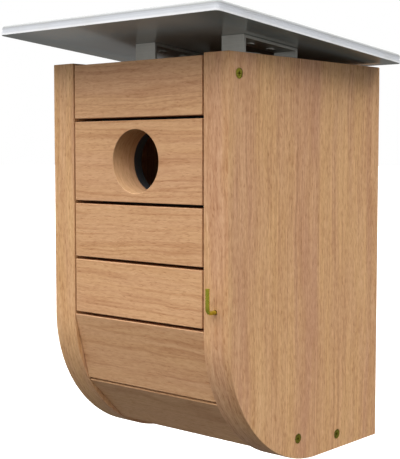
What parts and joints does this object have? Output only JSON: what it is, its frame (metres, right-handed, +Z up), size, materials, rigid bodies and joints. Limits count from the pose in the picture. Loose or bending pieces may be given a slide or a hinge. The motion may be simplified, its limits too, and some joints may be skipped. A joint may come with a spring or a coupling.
{
  "type": "birdhouse",
  "caption": "Hanging wooden nest box with a slatted door, a curved slatted lower front, a brass turn hook and a sloping raised roof plate.",
  "frame": {"origin": "centre of the flat back of the back panel, halfway up the box", "axes": "+Z up, +Y out of the back towards what the box hangs on, +X to the right seen from the front"},
  "size_m": [0.185, 0.1892, 0.2762],
  "materials": {
    "panel_wood": "oiled, straight upright grain",
    "slat_wood": "oiled, straight level grain",
    "backing_board": "matt dark stain",
    "roof_coat": "satin white coat on edges and top, dark glossy underside",
    "bracket_metal": "dull grey",
    "screw_brass": "aged brass",
    "hook_brass": "bright brass"
  },
  "bodies": {
    "box": {"back_lower_screw_left": "screw_brass", "back_lower_screw_right": "screw_brass", "back_panel": "panel_wood", "back_upper_screw_left": "screw_brass", "back_upper_screw_right": "screw_brass", "bracket_screw_left_back": "bracket_metal", "bracket_screw_left_front": "bracket_metal", "bracket_screw_right_back": "bracket_metal", "bracket_screw_right_front": "bracket_metal", "ceiling_board": "slat_wood", "floor_board": "slat_wood", "floor_screw_left": "screw_brass", "floor_screw_right": "screw_brass", "front_stave_lower": "slat_wood", "front_stave_middle": "slat_wood", "front_stave_upper": "slat_wood", "roof_bracket_left": "bracket_metal", "roof_bracket_right": "bracket_metal", "roof_plate": "roof_coat", "roof_rivet_left_back": "bracket_metal", "roof_rivet_left_front": "bracket_metal", "roof_rivet_right_back": "bracket_metal", "roof_rivet_right_front": "bracket_metal", "side_panel_left": "panel_wood", "side_panel_right": "panel_wood", "stave_screw_left": "screw_brass", "stave_screw_right": "screw_brass"},
    "door": {"backing_screw_bottom_left": "screw_brass", "backing_screw_bottom_right": "screw_brass", "backing_screw_entry_left": "screw_brass", "backing_screw_entry_right": "screw_brass", "backing_screw_middle_left": "screw_brass", "backing_screw_middle_right": "screw_brass", "backing_screw_top_left": "screw_brass", "backing_screw_top_right": "screw_brass", "door_backing": "backing_board", "door_pivot_screw_left": "screw_brass", "door_pivot_screw_right": "screw_brass", "door_slat_bottom": "slat_wood", "door_slat_entry": "slat_wood", "door_slat_middle": "slat_wood", "door_slat_top": "slat_wood"},
    "hook": {"latch_hook": "hook_brass"}
  },
  "joints": [
    {"name": "door_hinge", "type": "hinge", "parent": "box", "child": "door", "pos_m": [0, -0.1495, 0.1136], "axis": [-1, 0, 0], "range_deg": [0, 110]},
    {"name": "hook_turn", "type": "hinge", "parent": "box", "child": "hook", "pos_m": [0.065, -0.159, -0.0242], "axis": [0, -1, 0], "range_deg": [-90, 90]}
  ]
}
